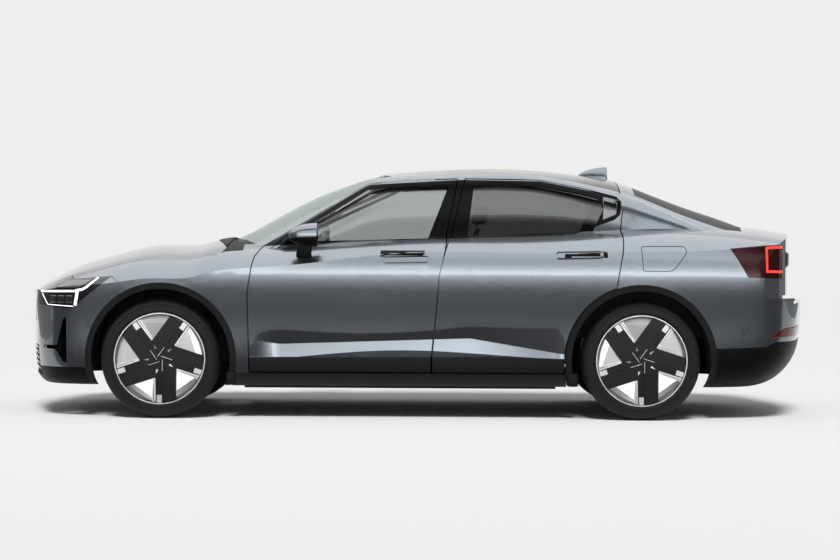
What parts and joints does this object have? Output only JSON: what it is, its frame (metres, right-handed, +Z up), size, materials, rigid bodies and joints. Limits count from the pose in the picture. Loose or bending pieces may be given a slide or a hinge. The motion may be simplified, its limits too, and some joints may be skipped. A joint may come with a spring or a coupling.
{
  "type": "fastback sedan",
  "caption": "Fastback sedan with opening doors, bonnet and tailgate, steered front wheels and free-turning tyres on a hollow cabin body.",
  "frame": {"origin": "on the ground under the middle of the car's length and width", "axes": "+X to the rear, +Y to the car's right-hand side, +Z up"},
  "size_m": [4.6046, 1.98, 1.47],
  "materials": {
    "body_paint": "metallic gloss",
    "glass": "tinted",
    "dark_plastic": "grained",
    "gloss_black": "gloss",
    "tyre": "rubber",
    "rim_metal": "machined",
    "brake_iron": "turned",
    "chassis_steel": "satin black",
    "lamp_clear": "clear",
    "lamp_red": "gloss red",
    "alloy": "cast",
    "rubber_seal": "matte",
    "seat_cloth": "woven"
  },
  "bodies": {
    "body": {"side_frame_left": "body_paint", "side_frame_right": "body_paint", "roof_panel": "gloss_black", "windscreen": "glass", "cowl": "dark_plastic", "sills": "dark_plastic", "front_wings": "body_paint", "headlamps": "lamp_clear", "front_bumper": "body_paint", "grille": "gloss_black", "rear_bumper": "body_paint", "tail_lamps": "lamp_red", "floor_pan": "chassis_steel", "battery_pack": "chassis_steel", "front_body": "chassis_steel", "rear_body": "chassis_steel", "front_suspension": "chassis_steel", "rear_suspension": "chassis_steel", "drive_units": "alloy", "dashboard": "dark_plastic", "front_seats": "seat_cloth", "rear_seat": "seat_cloth", "steering_wheel": "dark_plastic", "roof_fin": "body_paint", "arch_cladding": "dark_plastic", "door_seals": "rubber_seal"},
    "bonnet": {"bonnet": "body_paint"},
    "tailgate": {"tailgate": "body_paint", "back_window": "glass"},
    "front_door_left": {"front_door_left": "body_paint", "front_window_left": "glass", "mirror_left": "gloss_black"},
    "rear_door_left": {"rear_door_left": "body_paint", "rear_window_left": "glass"},
    "front_knuckle_left": {"front_knuckle_left": "alloy"},
    "front_wheel_left": {"front_rim_left": "rim_metal", "front_tyre_left": "tyre", "front_disc_left": "brake_iron"},
    "rear_wheel_left": {"rear_rim_left": "rim_metal", "rear_tyre_left": "tyre", "rear_disc_left": "brake_iron"},
    "front_door_right": {"front_door_right": "body_paint", "front_window_right": "glass", "mirror_right": "gloss_black"},
    "rear_door_right": {"rear_door_right": "body_paint", "rear_window_right": "glass"},
    "front_knuckle_right": {"front_knuckle_right": "alloy"},
    "front_wheel_right": {"front_rim_right": "rim_metal", "front_tyre_right": "tyre", "front_disc_right": "brake_iron"},
    "rear_wheel_right": {"rear_rim_right": "rim_metal", "rear_tyre_right": "tyre", "rear_disc_right": "brake_iron"}
  },
  "joints": [
    {"name": "bonnet_hinge", "type": "hinge", "parent": "body", "child": "bonnet", "pos_m": [-1.088, 0, 1.012], "axis": [0, 1, 0], "range_deg": [0, 50]},
    {"name": "tailgate_hinge", "type": "hinge", "parent": "body", "child": "tailgate", "pos_m": [1.15, 0, 1.386], "axis": [0, -1, 0], "range_deg": [0, 75]},
    {"name": "front_door_left_hinge", "type": "hinge", "parent": "body", "child": "front_door_left", "pos_m": [-0.966, -0.912, 0.6], "axis": [0, 0, -1], "range_deg": [0, 65]},
    {"name": "rear_door_left_hinge", "type": "hinge", "parent": "body", "child": "rear_door_left", "pos_m": [0.083, -0.912, 0.6], "axis": [0, 0, -1], "range_deg": [0, 65]},
    {"name": "front_door_right_hinge", "type": "hinge", "parent": "body", "child": "front_door_right", "pos_m": [-0.966, 0.912, 0.6], "axis": [0, 0, 1], "range_deg": [0, 65]},
    {"name": "rear_door_right_hinge", "type": "hinge", "parent": "body", "child": "rear_door_right", "pos_m": [0.083, 0.912, 0.6], "axis": [0, 0, 1], "range_deg": [0, 65]},
    {"name": "steer_left", "type": "hinge", "parent": "body", "child": "front_knuckle_left", "pos_m": [-1.461, -0.77, 0.34], "axis": [0, 0, 1], "range_deg": [-33, 33]},
    {"name": "steer_right", "type": "hinge", "parent": "body", "child": "front_knuckle_right", "pos_m": [-1.461, 0.77, 0.34], "axis": [0, 0, 1], "range_deg": [-33, 33]},
    {"name": "front_wheel_left_spin", "type": "hinge", "parent": "front_knuckle_left", "child": "front_wheel_left", "pos_m": [-1.461, -0.8, 0.34], "axis": [0, 1, 0], "continuous": true},
    {"name": "front_wheel_right_spin", "type": "hinge", "parent": "front_knuckle_right", "child": "front_wheel_right", "pos_m": [-1.461, 0.8, 0.34], "axis": [0, 1, 0], "continuous": true},
    {"name": "rear_wheel_left_spin", "type": "hinge", "parent": "body", "child": "rear_wheel_left", "pos_m": [1.274, -0.8, 0.34], "axis": [0, 1, 0], "continuous": true},
    {"name": "rear_wheel_right_spin", "type": "hinge", "parent": "body", "child": "rear_wheel_right", "pos_m": [1.274, 0.8, 0.34], "axis": [0, 1, 0], "continuous": true}
  ],
  "couplings": [
    {"joint": "steer_right", "follows": "steer_left", "ratio": 1}
  ]
}
